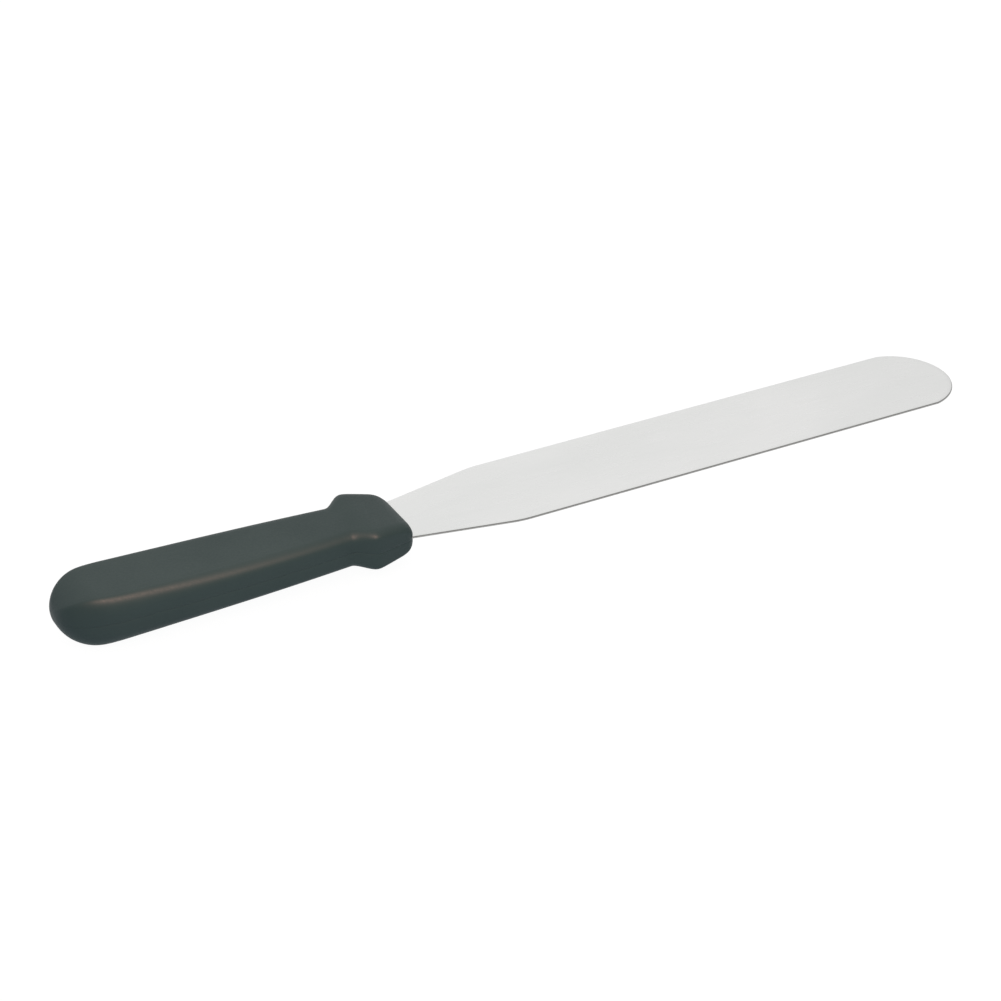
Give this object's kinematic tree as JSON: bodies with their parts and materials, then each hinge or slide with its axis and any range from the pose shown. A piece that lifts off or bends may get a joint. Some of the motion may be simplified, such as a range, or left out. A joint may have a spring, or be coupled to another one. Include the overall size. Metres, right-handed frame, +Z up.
{
  "type": "baker's spatula",
  "caption": "Straight icing spatula: a long flat flexible steel blade with a rounded tip, its tang moulded into a plastic handle with a flared finger guard.",
  "frame": {"origin": "centre of the footprint, on the surface the spatula lies on", "axes": "+X along the spatula towards the blade's tip, +Y across the blade, +Z up, square to the blade's flat face"},
  "size_m": [0.3164, 0.036, 0.0161],
  "materials": {
    "blade_steel": "satin stainless steel, finely brushed along its length",
    "handle_plastic": "dark slate polypropylene with a fine matte mould texture"
  },
  "bodies": {
    "root": {"blade": "blade_steel", "handle": "handle_plastic"}
  },
  "joints": []
}
